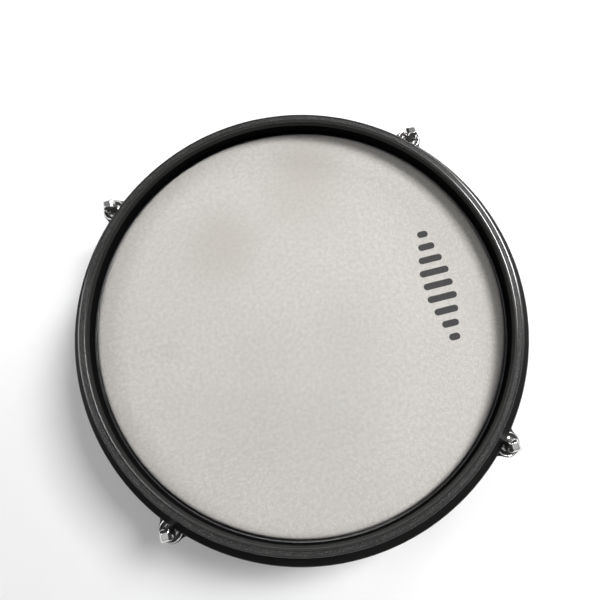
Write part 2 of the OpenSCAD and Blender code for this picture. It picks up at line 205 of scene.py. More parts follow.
def cad_finish(node, width=0.35, seg=2, angle=32):
    """A CAD node keeps its shape, and gets softened edges and smooth walls."""
    o = nodes[node]
    o.data.shade_smooth()
    w = o.modifiers.new("weld", "WELD"); w.merge_threshold = 1e-6
    d = o.modifiers.new("planar", "DECIMATE"); d.decimate_type = "DISSOLVE"; d.angle_limit = math.radians(1.0)
    b = o.modifiers.new("edges", "BEVEL")
    b.width, b.segments, b.limit_method, b.angle_limit = width * MM, seg, "ANGLE", math.radians(angle)
    b.use_clamp_overlap = True; b.harden_normals = False; b.miter_outer = "MITER_ARC"
    n = o.modifiers.new("normals", "WEIGHTED_NORMAL"); n.weight = 60; n.keep_sharp = False
    return o


# ------------------------------------------------------------------ material helpers
class Mat:
    def __init__(self, name):
        self.m = bpy.data.materials.new(name)
        self.m.use_nodes = True
        self.t = self.m.node_tree
        self.p = self.t.nodes["Principled BSDF"]
        self.tc = self.t.nodes.new("ShaderNodeTexCoord")

    def n(self, kind, **kw):
        x = self.t.nodes.new("ShaderNode" + kind)
        for k, v in kw.items():
            setattr(x, k, v)
        return x

    def l(self, a, b):
        self.t.links.new(a, b)

    def set(self, **kw):
        for k, v in kw.items():
            self.p.inputs[k.replace("_", " ")].default_value = v
        return self

    def math(self, op, a, b=None, c=None, clamp=False):
        x = self.n("Math", operation=op); x.use_clamp = clamp
        for i, v in enumerate((a, b, c)):
            if v is None:
                continue
            if hasattr(v, "is_output"):
                self.l(v, x.inputs[i])
            else:
                x.inputs[i].default_value = v
        return x.outputs[0]

    def mix(self, fac, a, b, kind="RGBA", blend="MIX"):
        x = self.n("Mix", data_type=kind)
        if kind == "RGBA":
            x.blend_type = blend
        ins = [s for s in x.inputs if s.enabled]
        for s, v in zip(ins, (fac, a, b)):
            if hasattr(v, "is_output"):
                self.l(v, s)
            elif isinstance(v, (tuple, list)):
                s.default_value = (*v, 1) if len(v) == 3 else v
            else:
                s.default_value = v
        return [s for s in x.outputs if s.enabled][0]

    def noise(self, scale, detail=3, rough=0.55, vec=None, dist=0.0):
        x = self.n("TexNoise")
        x.inputs["Scale"].default_value = scale
        x.inputs["Detail"].default_value = detail
        x.inputs["Roughness"].default_value = rough
        x.inputs["Distortion"].default_value = dist
        self.l(vec or self.tc.outputs["Object"], x.inputs["Vector"])
        return x.outputs[0]

    def ramp(self, v, *stops):
        x = self.n("ValToRGB")
        e = x.color_ramp.elements
        while len(e) > len(stops):
            e.remove(e[-1])
        while len(e) < len(stops):
            e.new(1)
        for s, (p, c) in zip(e, stops):
            s.position = p
            s.color = (*c, 1) if isinstance(c, (tuple, list)) else (c, c, c, 1)
        self.l(v, x.inputs[0])
        return x.outputs[0]

    def remap(self, v, a, b, c, d, smooth=False):
        x = self.n("MapRange")
        if smooth:
            x.interpolation_type = "SMOOTHSTEP"
        for s, w in zip(x.inputs[1:5], (a, b, c, d)):
            s.default_value = w
        self.l(v, x.inputs[0])
        return x.outputs[0]

    def bump(self, h, dist, strength=1.0, prev=None):
        x = self.n("Bump")
        x.inputs["Strength"].default_value = strength
        x.inputs["Distance"].default_value = dist
        self.l(h, x.inputs["Height"])
        if prev is not None:
            self.l(prev, x.inputs["Normal"])
        self.l(x.outputs[0], self.p.inputs["Normal"])
        return x.outputs[0]


def assign(o, m):
    o.data.materials.clear()
    o.data.materials.append(m.m if isinstance(m, Mat) else m)


# ------------------------------------------------------------------ materials
def mat_cloth():
    m = Mat("mesh_cloth")
    sep = m.n("SeparateXYZ"); m.l(m.tc.outputs["Object"], sep.inputs[0])
    X, Y, Zc = sep.outputs

    def ply(pitch, turn, width, drift, swing):
        c, s = math.cos(turn), math.sin(turn)
        wob = m.noise(drift, 2)
        wob = m.math("MULTIPLY", m.math("SUBTRACT", wob, 0.5), swing)
        u = m.math("ADD", m.math("MULTIPLY", X, c / pitch), m.math("MULTIPLY", Y, s / pitch))
        v = m.math("ADD", m.math("MULTIPLY", X, -s / pitch), m.math("MULTIPLY", Y, c / pitch))
        u = m.math("ADD", u, wob); v = m.math("ADD", v, wob)
        du = m.math("ABSOLUTE", m.math("SUBTRACT", m.math("FRACT", u), 0.5))
        dv = m.math("ABSOLUTE", m.math("SUBTRACT", m.math("FRACT", v), 0.5))
        mu = m.remap(du, width * 0.5, width * 0.5 - 0.09, 0, 1, True)
        mv = m.remap(dv, width * 0.5, width * 0.5 - 0.09, 0, 1, True)
        over = m.math("MULTIPLY", m.math("SINE", m.math("MULTIPLY", u, PI)), m.math("SINE", m.math("MULTIPLY", v, PI)))
        hu = m.math("MULTIPLY", mu, m.math("ADD", 0.72, m.math("MULTIPLY", over, 0.28)))
        hv = m.math("MULTIPLY", mv, m.math("SUBTRACT", 0.72, m.math("MULTIPLY", over, 0.28)))
        return m.math("MAXIMUM", hu, hv)
    top = ply(0.00058, 0.06, 0.62, 45, 0.9)
    low = ply(0.00062, 0.72, 0.62, 45, 0.9)
    # tone of the yarn: broad, soft, uneven, with soft painted shadows darkening it in spots
    broad = m.noise(14, 3, 0.6)
    fine = m.noise(900, 2)
    mottle = m.noise(420, 3, 0.65)
    thick = m.noise(1000, 2, 0.6)
    yarn = m.mix(m.remap(broad, 0.3, 0.7, 0, 1, True), (0.680, 0.658, 0.622), (0.712, 0.692, 0.658))

    def spot(x, y, r0, r1, k=1.0):
        d = m.math("SQRT", m.math("ADD", m.math("POWER", m.math("SUBTRACT", X, x), 2), m.math("POWER", m.math("MULTIPLY", m.math("SUBTRACT", Y, y), k), 2)))
        return m.remap(d, r0, r1, 1, 0, True)
    # painted shadows: soft dark spots of shade laid over the yarn
    for (x, y, r0, r1, a) in HEAD_PAINTED_SHADOWS:
        s = m.math("MULTIPLY", spot(x * MM, y * MM, r0 * MM, r1 * MM), a)
        yarn = m.mix(s, yarn, (0.38, 0.352, 0.285))
    # faint curved lines, where the two plies run almost in step
    fan = m.math("SQRT", m.math("ADD", m.math("POWER", m.math("SUBTRACT", X, FAN[0] * MM), 2), m.math("POWER", m.math("MULTIPLY", m.math("SUBTRACT", Y, FAN[1] * MM), 1.35), 2)))
    fan = m.math("ADD", fan, m.math("MULTIPLY", m.noise(16, 2), 0.012))
    lines = m.math("MULTIPLY", m.math("ADD", m.math("SINE", m.math("MULTIPLY", fan, 2 * PI / 0.0031)), 1.0), 0.5)
    lines = m.math("MULTIPLY", lines, m.remap(m.noise(24, 2), 0.40, 0.66, 0.15, 1, True))
    lines = m.math("MULTIPLY", lines, m.math("SUBTRACT", 1.0, m.math("MULTIPLY", 0.75, m.remap(m.math("ADD", m.math("MULTIPLY", X, -1.0), Y), -0.02, 0.07, 0, 1, True))))
    yarn = m.mix(m.math("MULTIPLY", lines, 0.15), yarn, (0.42, 0.405, 0.38))
    # patches of slightly cooler and warmer tone, painted light and shade: the two lighter ones are painted light, the
    # darker ones painted shade
    for (x, y, r1, a, c) in LIGHT_AND_SHADE_PATCHES:
        yarn = m.mix(m.math("MULTIPLY", spot(x * MM, y * MM, 0.004, r1 * MM), a), yarn, c)
    # the sensor's cone shows faintly through both layers
    s = m.math("MULTIPLY", spot(SENSOR.x, SENSOR.y, 0.0050, 0.0074), 0.085)
    yarn = m.mix(s, yarn, (0.25, 0.27, 0.30))
    yarn = m.mix(m.remap(fine, 0.25, 0.75, 0, 0.16), yarn, (0.45, 0.43, 0.40))
    yarn = m.mix(m.remap(mottle, 0.35, 0.65, 0, 0.40, True), yarn, (0.42, 0.40, 0.37))
    yarn = m.mix(m.remap(thick, 0.35, 0.65, 0, 0.34, True), yarn, (0.44, 0.42, 0.39))
    # a plain printed mark: a row of bars with no lettering
    ink = mark_mask(m, X, Y)
    ink = m.math("MULTIPLY", ink, m.remap(m.noise(2600, 2), 0.2, 0.55, 0.90, 1.0))
    printed = m.mix(ink, yarn, (0.016, 0.016, 0.018))
    # the lower ply is painted darker than the top, as shade under the top ply, and the gaps through both plies near
    # black for the hollow beneath, partly its black plastic and partly painted shade
    under = m.mix(low, (0.10, 0.095, 0.09), m.mix(m.math("MULTIPLY", ink, 0.75), (0.43, 0.41, 0.385), (0.03, 0.03, 0.032)))
    col = m.mix(m.remap(top, 0.12, 0.42, 0, 1, True), under, printed)
    m.l(col, m.p.inputs["Base Color"])
    m.set(Roughness=0.72)
    m.p.inputs["Sheen Weight"].default_value = 0.12
    m.p.inputs["Sheen Roughness"].default_value = 0.5
    m.p.inputs["Specular IOR Level"].default_value = 0.35
    h = m.math("ADD", top, m.math("MULTIPLY", low, 0.25))
    b = m.bump(h, 0.00011, 0.85)
    m.bump(broad, 0.0002, 0.15, prev=b)
    return m


def mark_mask(m, X, Y):
    """Nine upright bars in a row along Y, taller towards the middle."""
    px, py, half_w, pitch = 0.0885, 0.0, 0.0021, 0.0083
    heights = (3.4, 5.2, 7.4, 9.2, 9.2, 9.2, 7.4, 5.2, 3.4)
    total = None
    for i, h in enumerate(heights):
        cy = py + (i - 4) * pitch
        dx = m.math("SUBTRACT", m.math("ABSOLUTE", m.math("SUBTRACT", X, px)), h * MM - half_w)
        dx = m.math("MAXIMUM", dx, 0.0)
        dy = m.math("SUBTRACT", Y, cy)
        d = m.math("SQRT", m.math("ADD", m.math("POWER", dx, 2), m.math("POWER", dy, 2)))
        k = m.remap(d, half_w + 0.00008, half_w - 0.00012, 0, 1)
        total = k if total is None else m.math("MAXIMUM", total, k)
    return total


def mat_rim():
    m = Mat("rim_rubber")
    sep = m.n("SeparateXYZ"); m.l(m.tc.outputs["Object"], sep.inputs[0])
    X, Y, Zc = sep.outputs
    R = m.math("SQRT", m.math("ADD", m.math("POWER", X, 2), m.math("POWER", Y, 2)))
    inner = m.remap(R, (HOOP_R - 1.2) * MM, (HOOP_R - 1.0) * MM, 0, 1)
    outer = m.remap(R, (HOOP_R + 1.2) * MM, (HOOP_R + 1.0) * MM, 0, 1)
    high = m.remap(Zc, (RIM_TOP - 1.2) * MM, (RIM_TOP - 0.6) * MM, 0, 1)
    pebbled = m.math("MULTIPLY", m.math("MULTIPLY", inner, outer), high)
    vor = m.n("TexVoronoi"); vor.feature = "SMOOTH_F1"; vor.inputs["Scale"].default_value = 1500
    vor.inputs["Smoothness"].default_value = 0.35
    m.l(m.tc.outputs["Object"], vor.inputs["Vector"])
    grain = m.math("SUBTRACT", 1.0, vor.outputs["Distance"])
    n2 = m.noise(3600, 2)
    h = m.math("ADD", m.math("MULTIPLY", grain, 0.7), m.math("MULTIPLY", n2, 0.3))
    dust = m.remap(m.noise(70, 4, 0.65), 0.40, 0.75, 0, 1, True)
    # lighter flecks on the pebbled top are painted glints
    painted_glint = m.remap(m.noise(1150, 3, 0.6), 0.53, 0.64, 0, 1)
    # the pebbles' tops are painted lighter than the hollows between them: painted light and shade on the grain
    base = m.mix(m.remap(h, 0.25, 0.85, 0, 1), (0.010, 0.010, 0.0098), (0.034, 0.033, 0.032))
    base = m.mix(m.math("MULTIPLY", painted_glint, 0.7), base, (0.115, 0.112, 0.107))
    base = m.mix(m.math("MULTIPLY", dust, 0.22), base, (0.075, 0.073, 0.069))
    smooth_col = m.mix(m.noise(300, 3), (0.0065, 0.007, 0.0072), (0.011, 0.0115, 0.0118))
    m.l(m.mix(pebbled, smooth_col, base), m.p.inputs["Base Color"])
    rough = m.mix(pebbled, m.remap(n2, 0.2, 0.8, 0.46, 0.58), m.remap(n2, 0.2, 0.8, 0.30, 0.48), kind="FLOAT")
    m.l(rough, m.p.inputs["Roughness"])
    m.p.inputs["Specular IOR Level"].default_value = 0.24
    hp = m.math("MULTIPLY", h, m.math("ADD", m.math("MULTIPLY", pebbled, 0.92), 0.08))
    b = m.bump(hp, 0.00030, 0.8)
    m.bump(m.noise(420, 3), 0.00010, 0.3, prev=b)
    return m


def mat_powder(name, dark=0.010, light=0.018, rough=(0.28, 0.42), scale=1900, dist=0.00004, brown_painted_reflection=0.0):
    m = Mat(name)
    n = m.noise(scale, 3)
    n2 = m.noise(60, 4, 0.6)
    # a faint brown cast on the black, a painted reflection of brown surroundings
    c0, c1 = (dark * (1 + brown_painted_reflection), dark, dark * (1 - brown_painted_reflection * 0.5)), (light * (1 + brown_painted_reflection), light, light * (1 - brown_painted_reflection * 0.5))
    m.l(m.mix(n, c0, c1), m.p.inputs["Base Color"])
    r = m.math("ADD", m.remap(n, 0.25, 0.75, rough[0], rough[1]), m.math("MULTIPLY", m.math("SUBTRACT", n2, 0.5), 0.12))
    m.l(r, m.p.inputs["Roughness"])
    m.bump(n, dist, 0.6)
    return m


def mat_plastic(name, dark=0.016, light=0.026, scale=2400, dist=0.00007, rough=(0.42, 0.6)):
    m = Mat(name)
    vor = m.n("TexVoronoi"); vor.inputs["Scale"].default_value = scale
    m.l(m.tc.outputs["Object"], vor.inputs["Vector"])
    n = m.noise(scale * 0.5, 3)
    h = m.math("ADD", m.math("MULTIPLY", vor.outputs["Distance"], 0.6), m.math("MULTIPLY", n, 0.6))
    dust = m.remap(m.noise(38, 5, 0.62), 0.5, 0.85, 0, 1, True)
    c = m.mix(m.remap(h, 0.2, 0.9, 0, 1), (dark, dark, dark * 1.05), (light, light, light * 1.05))
    m.l(m.mix(m.math("MULTIPLY", dust, 0.18), c, (0.10, 0.098, 0.092)), m.p.inputs["Base Color"])
    m.l(m.remap(h, 0.2, 0.9, rough[0], rough[1]), m.p.inputs["Roughness"])
    m.bump(h, dist, 0.55)
    return m


def mat_metal(name, colour, rough=(0.06, 0.16), scale=500, dist=0.00001, streak=None, tint=None):
    m = Mat(name)
    m.p.inputs["Metallic"].default_value = 1.0
    if streak:
        mp = m.n("Mapping"); mp.inputs["Scale"].default_value = streak
        m.l(m.tc.outputs["Object"], mp.inputs["Vector"])
        n = m.noise(scale, 4, 0.6, vec=mp.outputs[0])
    else:
        n = m.noise(scale, 4, 0.6)
    n2 = m.noise(110, 4, 0.6)
    d = tint or tuple(c * 0.82 for c in colour)
    m.l(m.mix(m.remap(n2, 0.35, 0.75, 0, 1, True), colour, d), m.p.inputs["Base Color"])
    m.l(m.remap(n, 0.25, 0.75, rough[0], rough[1]), m.p.inputs["Roughness"])
    m.bump(n, dist, 0.5)
    return m


def mat_foam(name, c0, c1, scale=1500, dist=0.0004):
    m = Mat(name)
    vor = m.n("TexVoronoi"); vor.inputs["Scale"].default_value = scale
    m.l(m.tc.outputs["Object"], vor.inputs["Vector"])
    n = m.noise(scale * 1.7, 3)
    h = m.math("ADD", m.math("MULTIPLY", vor.outputs["Distance"], 0.8), m.math("MULTIPLY", n, 0.3))
    m.l(m.mix(m.remap(h, 0.1, 0.9, 0, 1), c0, c1), m.p.inputs["Base Color"])
    m.set(Roughness=0.92)
    m.bump(h, dist, 0.9)
    return m


def picture_to_pad(u, v, z=0.0):
    """Where a point of the picture lies on the plane z mm above the playing surface, in pad axes, mm."""
    d = view_rot.transposed() @ Vector(((u - 300) / FOCAL_PX, -(v - 300) / FOCAL_PX, -1.0))
    t = (z - CAM_C.z) / d.z
    p = to_picture.transposed() @ (CAM_C + d * t)
    return p.x, p.y


lo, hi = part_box("sensor_foam_cone")
SENSOR = (lo + hi) / 2
# soft painted shadows on the head: dark spots where shade falls across it
HEAD_PAINTED_SHADOWS = []
for (u, v, r0, r1, a) in ((222, 244, 4, 38, 0.34), (302, 188, 4, 44, 0.33), (308, 148, 2, 36, 0.28), (362, 340, 6, 50, 0.05), (225, 425, 5, 55, 0.05), (330, 450, 8, 55, 0.05)):
    x, y = picture_to_pad(u, v)
    HEAD_PAINTED_SHADOWS.append((x, y, r0, r1, a))

FAN = picture_to_pad(255, 560)
# patches of painted light and shade on the head
LIGHT_AND_SHADE_PATCHES = []
for (u, v, r1, a, c) in ((268, 345, 30, 0.20, (0.50, 0.52, 0.55)), (340, 418, 34, 0.22, (0.50, 0.52, 0.55)), (350, 330, 40, 0.16, (0.47, 0.46, 0.41)), (262, 425, 44, 0.16, (0.45, 0.44, 0.41)),
                         (358, 485, 28, 0.20, (0.62, 0.56, 0.58)), (340, 225, 34, 0.22, (0.66, 0.60, 0.57)), (395, 190, 46, 0.35, (0.70, 0.665, 0.63)), (165, 320, 40, 0.25, (0.70, 0.685, 0.65))):
    x, y = picture_to_pad(u, v)
    LIGHT_AND_SHADE_PATCHES.append((x, y, r1, a, c))
CLOTH = mat_cloth()
RUBBER = mat_rim()
# the hoop's black carries a faint brown cast: a painted reflection
POWDER = mat_powder("hoop_black", 0.0045, 0.009, rough=(0.34, 0.48), brown_painted_reflection=0.10)
PLASTIC = mat_plastic("black_abs")
SOCKET = mat_plastic("socket_black", 0.010, 0.016, scale=3000, dist=0.00003, rough=(0.3, 0.42))
LEAD = mat_plastic("lead_insulation", 0.012, 0.022, scale=2000, dist=0.00002, rough=(0.35, 0.5))
FOOT = mat_plastic("foot_rubber", 0.012, 0.024, scale=1200, dist=0.00012, rough=(0.7, 0.9))
POWDER.set(Specular_IOR_Level=0.22)
# the hoop's inner wall: a matt copy of the black coat, its matt finish real and its darker colour painted shade in the
# recess
HOOP_RECESS_MATT_AND_SHADE = mat_powder("hoop_inner_matt_black_and_shade", 0.002, 0.005, rough=(0.7, 0.9))
HOOP_RECESS_MATT_AND_SHADE.set(Specular_IOR_Level=0.06)
EDGE = mat_powder("rim_edge_rubber", 0.010, 0.018, rough=(0.13, 0.22), scale=900, dist=0.00002)
EDGE.set(Specular_IOR_Level=0.75)
CHROME = mat_metal("chrome", (0.83, 0.82, 0.81), rough=(0.05, 0.15), scale=900)
ALU = mat_metal("bare_aluminium", (0.64, 0.64, 0.64), rough=(0.31, 0.36), scale=700, streak=(1, 1, 14))
STEEL = mat_metal("steel", (0.56, 0.56, 0.57), rough=(0.22, 0.40), scale=900)
BRASS = mat_metal("brass", (0.78, 0.58, 0.27), rough=(0.18, 0.36), scale=800)
NYLON = mat_plastic("nylon", 0.62, 0.70, scale=1600, dist=0.00003, rough=(0.35, 0.5))
DARK_FOAM = mat_foam("dark_foam", (0.012, 0.012, 0.013), (0.04, 0.04, 0.042))
PALE_FOAM = mat_foam("pale_foam", (0.34, 0.31, 0.25), (0.66, 0.62, 0.54))
BOARD = mat_plastic("board_green", 0.03, 0.05, scale=900, dist=0.00002, rough=(0.2, 0.35))

# ------------------------------------------------------------------ mesh head: flat, rolled over the bearing edge, collar down into the flesh hoop
def build_head():
    prof = [(0, Z)]
    for r in np.linspace(6, HR - 8, 20):
        prof.append((float(r), Z))
    prof += [(HR - 5, Z), (HR - 3.4, Z - 0.02), (HR - 2.4, Z - 0.12), (HR - 1.5, Z - 0.42), (HR - 0.85, Z - 0.9), (HR - 0.35, Z - 1.6),
             (HR - 0.08, Z - 2.4), (HR, Z - 3.3), (HR, Z - 6), (HR, Z - 8.4), (HR + 0.06, Z - 9.4), (HR + 0.3, Z - 10.1), (HR + 0.8, Z - 10.7),
             (HR + 1.5, Z - 11.1), (HR + 2.3, Z - 11.35), (HR + 3.0, Z - 11.45)]
    t = 0.55
    inner = []
    for i, (r, z) in enumerate(prof):
        a = Vector(prof[max(i - 1, 0)]); b = Vector(prof[min(i + 1, len(prof) - 1)])
        d = (b - a).normalized()
        nrm = Vector((d.y, -d.x))
        inner.append((max(0.0, r + nrm.x * t) if r > 0 else 0.0, z + nrm.y * t))
    inner[0] = (0, Z - t)
    o = lathe("mesh_head_cloth", prof + inner[::-1], 288, closed=False)
    assign(o, CLOTH)
    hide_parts("mesh_head")
    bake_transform(o)
    d = 2 * (HR + 9.6) * MM
    return o


head = build_head()

# ------------------------------------------------------------------ flesh hoop
prof = fillet([(HR + 2.3, Z - 12.5), (HR + 6.1, Z - 12.5), (HR + 6.1, Z - 6.5), (HR + 2.35, Z - 6.5)], [0.5, 0.5, 0.3, 0.55], 5)
flesh = lathe("flesh_hoop_channel", prof, 288)
assign(flesh, ALU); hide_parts("flesh_hoop"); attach(flesh, "hoop")


# ------------------------------------------------------------------ counter hoop with its ears
def build_hoop():
    bm = bmesh.new()
    t = 1.6
    pts = [(HOOP_R, RIM_TOP - 2.2), (HOOP_R, Z - 2), (HOOP_R + 2, Z - 4.3), (HOOP_R + 2, Z - 6.5), (HR + 6.1, Z - 6.5), (HR + 6.1, Z - 4.4),
           (FLANGE - 0.8, Z - 3.3), (FLANGE, Z - 2.7), (FLANGE, Z - 1.2), (FLANGE - 0.7, Z - 0.5), (HOOP_R + t + 2.2, Z + 1.6), (HOOP_R + t, Z + 3.2), (HOOP_R + t, RIM_TOP - 2.2)]
    rad = [0.2, 0.8, 0.8, 0.3, 0.4, 1.2, 0.6, 0.7, 0.7, 0.8, 3.0, 1.2, 0.2]
    lathe_into(bm, fillet(pts, rad, 5), 288)
    # ears: a tab that runs out of the flange round each rod, with small concave flanks
    er, fr = 7.8, 6.0
    fx = ((FLANGE + fr) ** 2 + ROD_PCD ** 2 - (er + fr) ** 2) / (2 * ROD_PCD)
    fy = math.sqrt((FLANGE + fr) ** 2 - fx ** 2)
    n_out = 64
    side = []
    a0 = math.atan2(-fy, -fx); a1 = math.atan2(-fy, ROD_PCD - fx)
    for k in range(9):                       # concave flank, from the flange to the tab
        a = a0 + (a1 - a0) * k / 8
        side.append((fx + fr * math.cos(a), fy + fr * math.sin(a)))
    b0 = math.atan2(side[-1][1], side[-1][0] - ROD_PCD)
    arc = [(ROD_PCD + er * math.cos(b0 * (1 - 2 * k / 30)), er * math.sin(b0 * (1 - 2 * k / 30))) for k in range(31)]
    half = [(132.5, 16.5), (135.0, 15.2)] + side
    outline = half + arc[1:-1] + [(x, -y) for x, y in half[::-1]]
    outline = outline[::-1]
    for i, x, y, _, _ in RODS:
        ang = math.atan2(y, x)
        c, s = math.cos(ang), math.sin(ang)
        world = [(px * c - py * s, px * s + py * c) for px, py in outline]
        m = len(world)
        # the hole's points run the same way round as the outline's
        hole = []
        for (px, py) in outline:
            t0 = math.atan2(py, px - ROD_PCD)
            hx, hy = ROD_PCD + 3.4 * math.cos(t0), 3.4 * math.sin(t0)
            hole.append((hx * c - hy * s, hx * s + hy * c))
        prism_into(bm, world, HOOP_LO, EAR_TOP, bevel=0.55, steps=3, hole=hole)
        web = []
        for (px, py) in outline:
            k = min(1.0, (FLANGE - 1.3) / math.hypot(px, py))
            web.append((px * k * c - py * k * s, px * k * s + py * k * c))
        web = [p for n, p in enumerate(web) if math.dist(p, web[n - 1]) > 0.05]
        prism_into(bm, web, HOOP_LO + 0.5, Z - 2.9, bevel=0.4, steps=2)
    o = finish_mesh(bm, "counter_hoop_steel", sharp=34)
    return o


hoop = build_hoop()
assign(hoop, POWDER)
# the inner wall's faces take the darker matt copy: painted shade in the recess
hoop.data.materials.append(HOOP_RECESS_MATT_AND_SHADE.m)
for p in hoop.data.polygons:
    c = p.center
    if math.hypot(c.x, c.y) / MM < HOOP_R + 2.1 and c.z / MM > Z - 6 and p.normal.to_2d().dot(c.to_2d()) < 0:
        p.material_index = 1
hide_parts("counter_hoop"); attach(hoop, "hoop")

# ------------------------------------------------------------------ rubber rim
pts = [(HOOP_R - 0.02, Z + 8.2), (HOOP_R - 1.3, Z + 8.4), (HOOP_R - 2.45, Z + 9.8), (HOOP_R - 2.25, RIM_TOP - 1.2), (HOOP_R - 2.1, RIM_TOP),
       (HOOP_R - 1.15, RIM_TOP), (HOOP_R - 1.0, RIM_TOP - 0.35), (HOOP_R + 1.0, RIM_TOP - 0.25), (HOOP_R + 1.15, RIM_TOP - 0.02), (HOOP_R + 2.2, RIM_TOP - 0.06),
       (HOOP_R + 2.6, RIM_TOP - 1.7), (HOOP_R + 3.0, Z + 4), (HOOP_R + 2.6, Z + 3.3), (HOOP_R + 1.62, Z + 3.3), (HOOP_R + 1.62, RIM_TOP - 2.2), (HOOP_R - 0.02, RIM_TOP - 2.2)]
rad = [0.1, 0.5, 0.7, 1.0, 0.55, 0.4, 0.25, 0.2, 0.4, 0.9, 1.2, 0.5, 0.4, 0.1, 0.1, 0.1]
rim = lathe("rubber_rim", fillet(pts, rad, 6), 320)
assign(rim, RUBBER)
rim.data.materials.append(EDGE.m)
for p in rim.data.polygons:                    # the two rounded beads are moulded smooth
    c = p.center
    rr, zz = math.hypot(c.x, c.y) / MM - HOOP_R, c.z / MM - RIM_TOP
    if zz > -0.95 and (rr < -1.15 or rr > 1.15):
        p.material_index = 1
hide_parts("hoop_rubber_rim"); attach(rim, "hoop")

# ------------------------------------------------------------------ washers and rods
bm = bmesh.new()
w0 = EAR_TOP
cup = fillet([(2.95, w0), (6.35, w0), (7.0, w0 + 0.6), (7.05, w0 + 1.5), (6.6, w0 + 2.05), (6.1, w0 + 1.6), (5.85, w0 + 0.8), (5.62, w0 + 0.6), (2.95, w0 + 0.6)],
             [0.1, 0.4, 0.4, 0.5, 0.42, 0.5, 0.15, 0.1, 0.1], 5)
for i, x, y, _, _ in RODS:
    lathe_into(bm, cup, 72, centre=(x, y))
cups = finish_mesh(bm, "cup_washers")
assign(cups, CHROME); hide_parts("rod_cup_washers"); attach(cups, "hoop")


def build_rod(i, x, y, z0, z1):
    f0 = EAR_TOP + 1.2
    bm = bmesh.new()
    # flange and neck
    lathe_into(bm, fillet([(0, f0), (4.5, f0), (4.65, f0 + 0.4), (3.9, f0 + 1.75), (3.2, f0 + 2.2), (0, f0 + 2.2)], [0, 0.2, 0.3, 0.5, 0.3, 0], 4)[1:-1] + [(0.0, f0 + 2.2), (0.0, f0)], 64, centre=(x, y))
    # square head with rounded corners and a chamfered, slightly crowned top
    w = 6.35 / 2
    c0 = fillet([(-w, -w), (w, -w), (w, w), (-w, w)], 0.75, 5)
    def ring(s, z):
        return [bm.verts.new(((x + px * s) * MM, (y + py * s) * MM, z * MM)) for px, py in c0]
    def ring_round(s, z, k):
        out = []
        for px, py in c0:
            d = math.hypot(px, py)
            q = s * w / d * 1.06
            out.append(bm.verts.new(((x + px * (s * (1 - k) + q * k)) * MM, (y + py * (s * (1 - k) + q * k)) * MM, z * MM)))
        return out
    rings = [ring(0.96, f0 + 1.6), ring(1.0, f0 + 2.0), ring(1.0, z1 - 1.45), ring_round(0.995, z1 - 1.3, 0.08), ring_round(0.96, z1 - 1.12, 0.2),
             ring_round(0.72, z1 - 0.2, 0.8), ring_round(0.67, z1 - 0.05, 0.9), ring_round(0.6, z1, 1.0)]
    for a, b in zip(rings, rings[1:]):
        for k in range(len(a)):
            bm.faces.new([a[k], a[(k + 1) % len(a)], b[(k + 1) % len(a)], b[k]])
    bm.faces.new(rings[0]); bm.faces.new(rings[-1])
    # shank: plain under the flange, then a cut thread, 24 to the inch
    pitch, seg, per = 25.4 / 24, 28, 8
    zs, top = [], f0 + 0.2
    plain = f0 - 9
    zz = z0 + 1.2
    prev = None
    bottom = bm.verts.new((x * MM, y * MM, z0 * MM))
    first = None
    n = int((plain - zz) / pitch * per)
    for j in range(n + 3):
        z = zz + (plain - zz) * min(j, n) / n if j <= n else (plain + 0.4 if j == n + 1 else top)
        ringv = []
        for k in range(seg):
            t = 2 * PI * k / seg
            ph = ((z - z0) / pitch - k / seg) % 1.0
            tri = abs(ph * 2 - 1)
            r = 2.24 + 0.5 * min(1.0, max(0.0, (tri - 0.1) / 0.75))
            if j > n:
                r = 2.7
            fade = min(1, j / (per * 1.5))
            r = 2.0 * (1 - fade) + r * fade
            ringv.append(bm.verts.new(((x + r * math.cos(t)) * MM, (y + r * math.sin(t)) * MM, z * MM)))
        if prev is None:
            first = ringv
        else:
            for k in range(seg):
                bm.faces.new([prev[k], prev[(k + 1) % seg], ringv[(k + 1) % seg], ringv[k]])
        prev = ringv
    for k in range(seg):
        bm.faces.new([first[k], bottom, first[(k + 1) % seg]])
    bm.faces.new(prev)
    o = finish_mesh(bm, "rod_%d" % i, sharp=50)
    assign(o, CHROME)
    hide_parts("tension_rod_%d" % i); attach(o, "rod_%d" % i)
    return o


for r in RODS:
    build_rod(*r)

# ------------------------------------------------------------------ foam pieces
def foam(name, node, prof, rad, centre, mat):
    """A turned foam piece with soft edges and a slightly uneven skin."""
    def wobble(r, z, t):
        k = 0.10 * math.sin(5 * t + z * 0.7) + 0.07 * math.sin(11 * t - z * 1.3)
        return max(0.0, r - 0.2 + k * min(1.0, r / 4)), z
    o = lathe(name, [(0, prof[0][1])] + fillet(prof, rad, 5) + [(0, prof[-1][1])], 96, closed=False, centre=centre, wobble=wobble)
    assign(o, mat)
    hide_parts(node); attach(o, "pad")
    return o


def node_span(node):
    lo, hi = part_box(node)
    return (lo + hi) * 500, lo.z * 1000, hi.z * 1000, (hi.x - lo.x) * 500


mid, za, zb, rr = node_span("sensor_foam_cone")
foam("sensor_cone", "sensor_foam_cone", [(rr, za), (rr, za + 2.5), (6.0, zb), (3.0, zb)], [0.7, 1.2, 1.6, 0], (mid.x, mid.y), PALE_FOAM)
mid, za, zb, rr = node_span("sensor_base_foam")
foam("sensor_base", "sensor_base_foam", [(rr, za), (rr, zb), (rr - 3, zb)], [0.6, 0.7, 0], (mid.x, mid.y), DARK_FOAM)
mid, za, zb, rr = node_span("rim_piezo_pad")
foam("rim_piezo_foam", "rim_piezo_pad", [(rr, za), (rr, zb), (rr - 3, zb)], [0.3, 0.35, 0], (mid.x, mid.y), PALE_FOAM)

